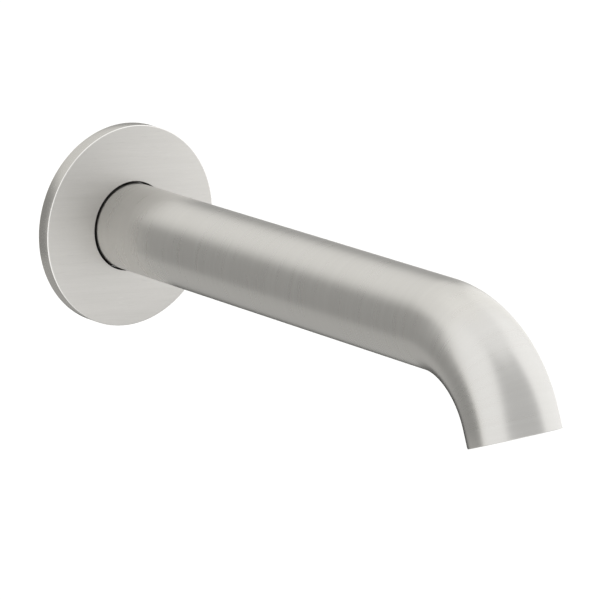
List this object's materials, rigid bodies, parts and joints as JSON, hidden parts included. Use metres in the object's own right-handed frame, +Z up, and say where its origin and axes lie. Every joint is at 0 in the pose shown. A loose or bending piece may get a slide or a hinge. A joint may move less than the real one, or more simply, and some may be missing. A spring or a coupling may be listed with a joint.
{
  "type": "wall mounted bath spout",
  "caption": "Wall mounted bath spout: a round wall flange and a straight round tube that bends down to a recessed stream straightener, in brushed stainless steel",
  "frame": {"origin": "centre of the wall flange's back face, on the axis of the tube, in the plane of the finished wall", "axes": "+Y into the wall along the inlet thread, so the spout reaches out along -Y; +Z up; +X to the right seen from the room"},
  "size_m": [0.07, 0.2399, 0.07],
  "materials": {
    "brushed_steel": "brushed stainless steel, warm grey",
    "turned_steel": "turned stainless steel",
    "brass": "turned brass",
    "housing_steel": "satin plated thread housing",
    "seal_rubber": "black rubber",
    "foam": "closed cell foam rubber",
    "fibre_washer": "red fibre sealing washer",
    "pale_plastic": "natural moulded plastic",
    "grey_plastic": "grey moulded plastic",
    "screen_steel": "fine stainless wire"
  },
  "bodies": {
    "wall_connection": {"wall_nipple": "brass", "nipple_seal_rear": "seal_rubber", "nipple_seal_front": "seal_rubber", "thread_seal": "fibre_washer"},
    "spout": {"spout_tube": "brushed_steel", "inlet_socket": "turned_steel", "outlet_seat": "turned_steel"},
    "flange": {"wall_flange": "brushed_steel", "flange_grip_ring": "seal_rubber", "flange_wall_seal": "foam"},
    "grub_screw": {"grub_screw": "turned_steel"},
    "aerator_washer": {"aerator_seal": "seal_rubber"},
    "aerator": {"aerator_housing": "housing_steel", "aerator_sleeve": "grey_plastic", "flow_grid": "pale_plastic", "screen_lower": "screen_steel", "screen_spacer": "pale_plastic", "screen_upper": "screen_steel", "jet_disc": "pale_plastic", "strainer": "grey_plastic"}
  },
  "joints": [
    {"name": "spout_pull_off", "type": "slide", "parent": "wall_connection", "child": "spout", "axis": [0, -1, 0], "range_m": [0, 0.04]},
    {"name": "flange_slide", "type": "slide", "parent": "spout", "child": "flange", "axis": [0, -1, 0], "range_m": [0, 0.15]},
    {"name": "grub_screw_back_out", "type": "slide", "parent": "spout", "child": "grub_screw", "axis": [0, 0, -1], "range_m": [0, 0.003]},
    {"name": "aerator_travel", "type": "slide", "parent": "spout", "child": "aerator_washer", "axis": [0, -0.3584, -0.9336], "range_m": [0, 0.00401]},
    {"name": "aerator_unscrew", "type": "hinge", "parent": "aerator_washer", "child": "aerator", "pos_m": [0, -0.20397, -0.02885], "axis": [0, -0.3584, -0.9336], "range_deg": [0, 1440]}
  ],
  "couplings": [
    {"joint": "aerator_travel", "follows": "aerator_unscrew", "m_per_rad": 0.00015915}
  ]
}
